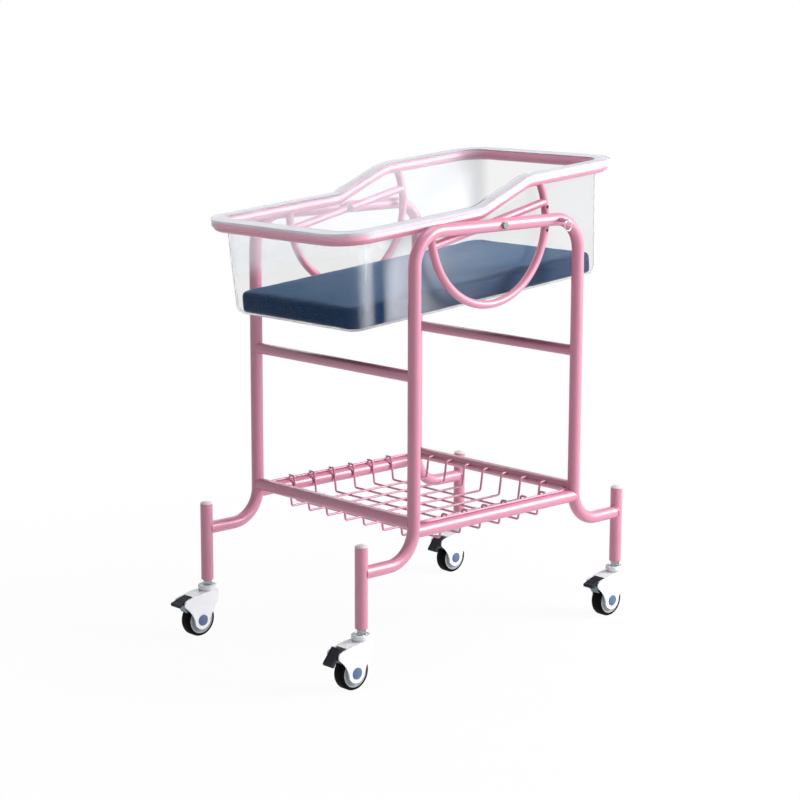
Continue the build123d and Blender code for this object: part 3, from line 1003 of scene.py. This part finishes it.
@dataclass
class BasinEdge:
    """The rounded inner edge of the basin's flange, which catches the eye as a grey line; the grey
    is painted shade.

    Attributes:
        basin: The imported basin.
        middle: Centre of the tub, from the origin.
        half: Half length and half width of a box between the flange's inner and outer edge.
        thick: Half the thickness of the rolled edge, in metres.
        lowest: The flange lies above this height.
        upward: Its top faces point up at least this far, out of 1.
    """

    basin: bpy.types.Object
    middle: Vector
    half: tuple[float, float] = (366 * MM, 205 * MM)
    thick: float = 1.1 * MM
    lowest: float = 0.8
    upward: float = 0.7

    def build(self) -> bpy.types.Object:
        """Rolls the edge.

        Returns:
            The finished piece.
        """
        edges = self.basin.copy()
        edges.data = self.basin.data.copy()
        edges.modifiers.clear()
        bpy.context.scene.collection.objects.link(edges)
        only(edges)
        bpy.ops.object.mode_set(mode="EDIT")
        bpy.ops.mesh.select_all(action="SELECT")
        bpy.ops.mesh.remove_doubles(threshold=0.01 * MM)
        bpy.ops.object.mode_set(mode="OBJECT")
        edit_faces(edges, lambda middle, up: middle.z > self.lowest and up.z > self.upward)
        bpy.ops.mesh.region_to_loop()
        bpy.ops.mesh.select_all(action="INVERT")
        bpy.ops.mesh.delete(type="EDGE")
        bpy.ops.mesh.select_mode(type="VERT")
        bpy.ops.mesh.select_all(action="DESELECT")
        bpy.ops.object.mode_set(mode="OBJECT")
        for point in edges.data.vertices:
            aside = point.co - self.middle
            point.select = abs(aside.x) > self.half[0] or abs(aside.y) > self.half[1]
            point.co.z -= self.thick
        bpy.ops.object.mode_set(mode="EDIT")
        bpy.ops.mesh.delete(type="VERT")
        bpy.ops.object.mode_set(mode="OBJECT")
        edges.name = edges.data.name = "basin_rolled_edge"
        only(edges)
        bpy.ops.object.convert(target="CURVE")
        line = bpy.context.object
        line.data.bevel_depth = self.thick
        line.data.bevel_resolution = 1
        bpy.ops.object.convert(target="MESH")
        piece = bpy.context.object
        piece.data.shade_smooth()
        # Grey painted shade along the clear flange's inner edge
        dress(piece, EDGE_SHADE_POLYCARBONATE)
        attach(piece, "basin")
        LOG.info("the basin's rolled edge has %d faces", len(piece.data.polygons))
        return piece


# Mattress


@dataclass
class Mattress:
    """Foam pad in a coated cover, lying on the basin's floor.

    Attributes:
        length: Its length, in metres.
        width: Its width.
        height: Its height.
        corner: Radius of its corners from above.
        edge: Radius of its long edges.
        floor: Height of its underside under the tilt axis, along the basin.
        axis_place: The middle of the tilt axis.
        voxel: Size of the cells that it is rebuilt from.
        swell: How far a point may move as the pad fills.
        pressure: How hard the filling presses on the cover.
        grow: How far the cover is cut over the foam, as a share.
        steps: How many frames the cover has to settle.
    """

    axis_place: Vector
    length: float = 673 * MM
    width: float = 348 * MM
    height: float = 39 * MM
    corner: float = 30 * MM
    edge: float = 6 * MM
    floor: float = -153.6 * MM
    voxel: float = 5 * MM
    swell: float = 2.5 * MM
    pressure: float = 4.0
    grow: float = 0.012
    steps: int = 20

    def block(self) -> bpy.types.Object:
        """Cuts the foam: a slab with round corners and edges.

        Returns:
            The slab, level, with its underside at height nought.
        """
        bpy.ops.object.select_all(action="DESELECT")
        bpy.ops.mesh.primitive_cube_add(size=1.0, location=(0, 0, self.height / 2))
        slab = bpy.context.object
        slab.scale = (self.length, self.width, self.height)
        settle(slab, "mattress_pad")
        bpy.ops.object.mode_set(mode="EDIT")
        bpy.ops.mesh.select_mode(type="EDGE")
        bpy.ops.mesh.select_all(action="DESELECT")
        bpy.ops.object.mode_set(mode="OBJECT")
        points = slab.data.vertices
        for line in slab.data.edges:
            a, b = (points[i].co for i in line.vertices)
            line.select = abs(a.z - b.z) > self.height / 2
        bpy.ops.object.mode_set(mode="EDIT")
        bpy.ops.mesh.bevel(offset=self.corner, segments=8, affect="EDGES")
        bpy.ops.object.mode_set(mode="OBJECT")
        only(slab)
        rounded = slab.modifiers.new("edges", "BEVEL")
        rounded.limit_method = "ANGLE"
        rounded.angle_limit = math.radians(60)
        rounded.width = self.edge
        rounded.segments = 4
        bpy.ops.object.modifier_apply(modifier="edges")
        return slab

    def fill(self, slab: bpy.types.Object) -> None:
        """Lets the cover swell over the foam by a cloth simulation.

        Args:
            slab: The slab, which keeps the swollen shape.
        """
        only(slab)
        slab.data.remesh_voxel_size = self.voxel
        bpy.ops.object.voxel_remesh()
        rest = np.empty(len(slab.data.vertices) * 3)
        slab.data.vertices.foreach_get("co", rest)
        rest = rest.reshape(-1, 3)
        cloth = slab.modifiers.new("cover", "CLOTH")
        cloth.settings.use_pressure = True
        cloth.settings.uniform_pressure_force = self.pressure
        cloth.settings.effector_weights.gravity = 0.0
        cloth.settings.shrink_min = -self.grow
        scene = bpy.context.scene
        for step in range(1, self.steps + 1):
            scene.frame_set(step)
        only(slab)
        bpy.ops.object.modifier_apply(modifier="cover")
        scene.frame_set(1)
        swollen = np.empty(len(slab.data.vertices) * 3)
        slab.data.vertices.foreach_get("co", swollen)
        swollen = swollen.reshape(-1, 3)
        move = swollen - rest
        reach = np.linalg.norm(move, axis=1, keepdims=True)
        move *= np.minimum(1.0, self.swell / np.maximum(reach, 1e-9))
        settled = rest + move
        settled[:, 2] = np.maximum(settled[:, 2], 0.0)
        slab.data.vertices.foreach_set("co", settled.ravel())
        slab.data.update()

    def build(self) -> bpy.types.Object:
        """Makes the mattress and lays it in the basin.

        Returns:
            The finished piece.
        """
        pad = self.block()
        self.fill(pad)
        only(pad)
        finer = pad.modifiers.new("finer", "SUBSURF")
        finer.levels = finer.render_levels = 1
        bpy.ops.object.modifier_apply(modifier="finer")
        pad.data.transform(Matrix.Translation((0, 0, self.floor)))
        pad.data.transform(Matrix.Rotation(-HEAD_RAISED, 4, "Y"))
        pad.data.transform(Matrix.Translation(self.axis_place))
        pad.data.shade_smooth()
        dress(pad, NAVY_COATED_CLOTH)
        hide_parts("mattress")
        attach(pad, "mattress")
        LOG.info("mattress has %d faces", len(pad.data.polygons))
        return pad


# Room, light and camera


@dataclass(frozen=True)
class Lamp:
    """A soft square lamp.

    Attributes:
        name: Its name.
        place: Where it hangs, in metres.
        size: Side of its face.
        power: Its power, in watts.
    """

    name: str
    place: tuple[float, float, float]
    size: float
    power: float


@dataclass
class Studio:
    """Plain white studio with soft lamps and the camera of the photograph.

    Attributes:
        shift: Where the middle of the stand lies, which the camera was measured from.
        lamps: The key from the right, a weak fill beside the camera, and two from above.
        aim: The point that the lamps face.
        room_light: Strength of the white room as a light, where 1 is what the eye sees.
        paper_radius: Radius of the white floor, in metres.
        fade: Distances on the floor between which its own shade fades into the white.
        paper_share: How much of its white the floor keeps near the trolley, without shade.
        eye: The camera's place from the middle of the stand.
        yaw_deg: Its heading, from +X towards +Y.
        pitch_deg: How far it looks down.
        roll_deg: How far it leans.
        lens: Focal length for a 36 mm sensor, in millimetres.
    """

    shift: Vector
    lamps: tuple[Lamp, ...] = (
        Lamp("key", (2.6, -2.8, 2.0), 2.0, 215.0),
        Lamp("front", (-1.6, -3.6, 1.2), 1.8, 11.0),
        Lamp("top", (0.2, -0.1, 3.4), 1.6, 26.0),
        Lamp("back", (1.6, 3.4, 2.7), 1.8, 22.0),
    )
    aim: tuple[float, float, float] = (0.0, 0.0, 0.5)
    room_light: float = 0.17
    paper_radius: float = 9.0
    fade: tuple[float, float] = (0.5, 1.6)
    paper_share: float = 0.95
    eye: Vector = field(default_factory=lambda: Vector((-2.8821, -3.0278, 1.2633)))
    yaw_deg: float = 46.842
    pitch_deg: float = 10.764
    roll_deg: float = 0.152
    lens: float = 94.13

    def camera(self) -> None:
        """Sets up the camera."""
        data = bpy.data.cameras.new("camera")
        data.lens = self.lens
        data.sensor_width = 36.0
        data.clip_end = 60.0
        camera = bpy.data.objects.new("camera", data)
        bpy.context.scene.collection.objects.link(camera)
        camera.location = self.shift + self.eye
        heading = Euler((math.radians(90 - self.pitch_deg), 0, math.radians(self.yaw_deg - 90)))
        lean = Quaternion((0, 0, 1), math.radians(self.roll_deg))
        camera.rotation_mode = "QUATERNION"
        camera.rotation_quaternion = heading.to_quaternion() @ lean
        bpy.context.scene.camera = camera

    def hang(self, lamp: Lamp) -> None:
        """Hangs a lamp and points it at the trolley.

        Args:
            lamp: The lamp.
        """
        data = bpy.data.lights.new(lamp.name, "AREA")
        data.size = lamp.size
        data.energy = lamp.power
        light = bpy.data.objects.new(lamp.name, data)
        bpy.context.scene.collection.objects.link(light)
        light.location = lamp.place
        heading = Vector(self.aim) - light.location
        light.rotation_mode = "QUATERNION"
        light.rotation_quaternion = heading.to_track_quat("-Z", "Y")

    def shown(self, tree: bpy.types.NodeTree) -> bpy.types.NodeSocket:
        """Tells what is seen, straight, mirrored or through the plastic, from what lights.

        Args:
            tree: The node tree of the floor or the room.

        Returns:
            The output, 1 where the surface is seen.
        """
        path = add_node(tree, "ShaderNodeLightPath")
        seen = path.outputs["Is Camera Ray"]
        for way in ("Is Transmission Ray", "Is Glossy Ray"):
            either = add_node(
                tree, "ShaderNodeMath", {0: seen, 1: path.outputs[way]}, operation="MAXIMUM"
            )
            seen = either.outputs[0]
        return seen

    def backdrop(self) -> None:
        """Lays a pale floor that fades into the white room."""
        bpy.ops.object.select_all(action="DESELECT")
        bpy.ops.mesh.primitive_circle_add(
            vertices=64, radius=self.paper_radius, fill_type="NGON"
        )
        floor = settle(bpy.context.object, "studio_floor")
        paper = bpy.data.materials.new("white_paper")
        paper.use_nodes = True
        tree = paper.node_tree
        tree.nodes.clear()
        plain = add_node(tree, "ShaderNodeBsdfDiffuse", {"Color": srgb("F4F4F4")})
        glow = add_node(tree, "ShaderNodeEmission", {"Color": srgb("FFFFFF"), "Strength": 1.0})
        place = add_node(tree, "ShaderNodeTexCoord").outputs["Object"]
        far = add_node(tree, "ShaderNodeVectorMath", {0: place}, operation="LENGTH")
        white = add_node(
            tree,
            "ShaderNodeMapRange",
            carried(far.outputs["Value"], *self.fade, self.paper_share, 1.0),
        )
        share = add_node(
            tree,
            "ShaderNodeMath",
            {0: self.shown(tree), 1: white.outputs["Result"]},
            operation="MULTIPLY",
        )
        mix = add_node(
            tree,
            "ShaderNodeMixShader",
            {0: share.outputs[0], 1: plain.outputs[0], 2: glow.outputs[0]},
        )
        add_node(tree, "ShaderNodeOutputMaterial", {"Surface": mix.outputs[0]})
        floor.data.materials.append(paper)

    def surround(self) -> None:
        """Makes the room white to the eye and softer as a light."""
        world = bpy.data.worlds.new("studio")
        world.use_nodes = True
        tree = world.node_tree
        tree.nodes.clear()
        strength = add_node(
            tree, "ShaderNodeMapRange", carried(self.shown(tree), 0.0, 1.0, self.room_light)
        )
        sky = add_node(
            tree,
            "ShaderNodeBackground",
            {"Color": srgb("FFFFFF"), "Strength": strength.outputs["Result"]},
        )
        add_node(tree, "ShaderNodeOutputWorld", {"Surface": sky.outputs[0]})
        bpy.context.scene.world = world

    def build(self) -> None:
        """Sets up the whole studio."""
        self.surround()
        self.backdrop()
        for lamp in self.lamps:
            self.hang(lamp)
        self.camera()
        view = bpy.context.scene.view_settings
        view.view_transform = "Standard"


def main() -> None:
    """Dresses the frame, and builds the soft pieces and the studio."""
    logging.basicConfig(level=logging.INFO, format="%(name)s: %(message)s")
    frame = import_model()
    tilt = next(j for j in frame["joints"] if j["name"] == "cradle_tilt")
    axis_place = Vector(tilt["pos_m"])
    FramePieces(frame["nodes"]).dress_all()
    Welds().build()
    BasinEdge(frame["nodes"]["basin"], axis_place).build()
    Mattress(axis_place).build()
    Studio(Vector((axis_place.x, axis_place.y, 0.0))).build()


if __name__ == "__main__":
    main()
